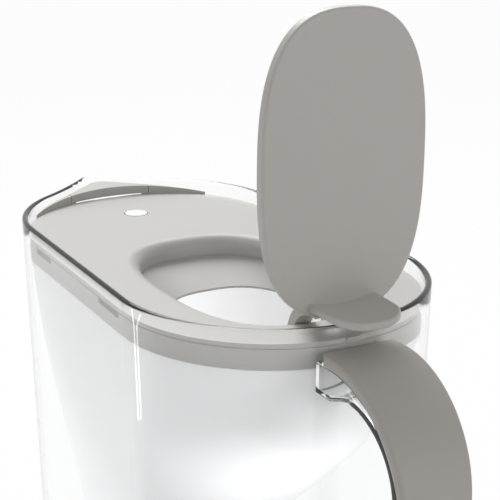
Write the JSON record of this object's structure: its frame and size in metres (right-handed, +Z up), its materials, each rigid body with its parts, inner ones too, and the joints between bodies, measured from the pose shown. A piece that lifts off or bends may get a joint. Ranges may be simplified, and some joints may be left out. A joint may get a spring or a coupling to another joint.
{
  "type": "water filter pitcher with flip lid",
  "caption": "Tapered clear jug with spout and strap handle, a funnel hopper holding a filter cartridge, and a two-shell lid with fill flap, pouring flap and light button.",
  "frame": {"origin": "centre of the body's plan, on the face the jug stands on", "axes": "+Z up, the spout points to -X, the handle to +X; the pitcher is symmetric about y = 0"},
  "size_m": [0.2573, 0.1098, 0.3511],
  "materials": {
    "clear_jug": "clear, polished",
    "grey_grip": "soft satin",
    "translucent_hopper": "translucent white",
    "white_plastic": "moulded white",
    "seal_rubber": "silicone",
    "screen_felt": "fine felt",
    "granules": "packed granules",
    "grey_lid": "fine satin, warm grey",
    "grey_flap": "fine satin, warm grey",
    "module_grey": "moulded grey",
    "board_green": "solder mask",
    "led_lens": "diffused lens",
    "cell_steel": "nickel-plated",
    "contact_brass": "sprung sheet",
    "white_button": "translucent white"
  },
  "bodies": {
    "jug": {"jug_body": "clear_jug", "handle_grip": "grey_grip"},
    "hopper": {"hopper": "translucent_hopper"},
    "cartridge": {"cartridge_cup": "white_plastic", "cartridge_cap": "white_plastic", "cartridge_seal": "seal_rubber", "top_screen": "screen_felt", "bottom_screen": "screen_felt", "filter_granules": "granules"},
    "lid": {"lid_cover": "grey_lid", "lid_base": "grey_lid", "light_housing": "module_grey", "circuit_board": "board_green", "button_dome": "seal_rubber", "led": "led_lens", "coin_cell": "cell_steel", "battery_contact": "contact_brass", "battery_cover": "module_grey"},
    "fill_flap": {"fill_flap": "grey_flap"},
    "pour_flap": {"pour_flap": "grey_lid"},
    "light_button": {"light_button": "white_button"}
  },
  "joints": [
    {"name": "hopper_lift", "type": "slide", "parent": "jug", "child": "hopper", "axis": [0, 0, 1], "range_m": [0, 0.2]},
    {"name": "cartridge_lift", "type": "slide", "parent": "hopper", "child": "cartridge", "axis": [0, 0, 1], "range_m": [0, 0.066]},
    {"name": "lid_lift", "type": "slide", "parent": "hopper", "child": "lid", "axis": [0, 0, 1], "range_m": [0, 0.04]},
    {"name": "fill_flap_hinge", "type": "hinge", "parent": "lid", "child": "fill_flap", "pos_m": [0.0866, 0, 0.24315], "axis": [0, -1, 0], "range_deg": [0, 90.6]},
    {"name": "pour_flap_hinge", "type": "hinge", "parent": "lid", "child": "pour_flap", "pos_m": [-0.0929, 0, 0.25], "axis": [0, 1, 0], "range_deg": [0, 35]},
    {"name": "light_button_press", "type": "slide", "parent": "lid", "child": "light_button", "axis": [0, 0, -1], "range_m": [0, 0.0008], "stiffness_N_per_m": 200}
  ]
}
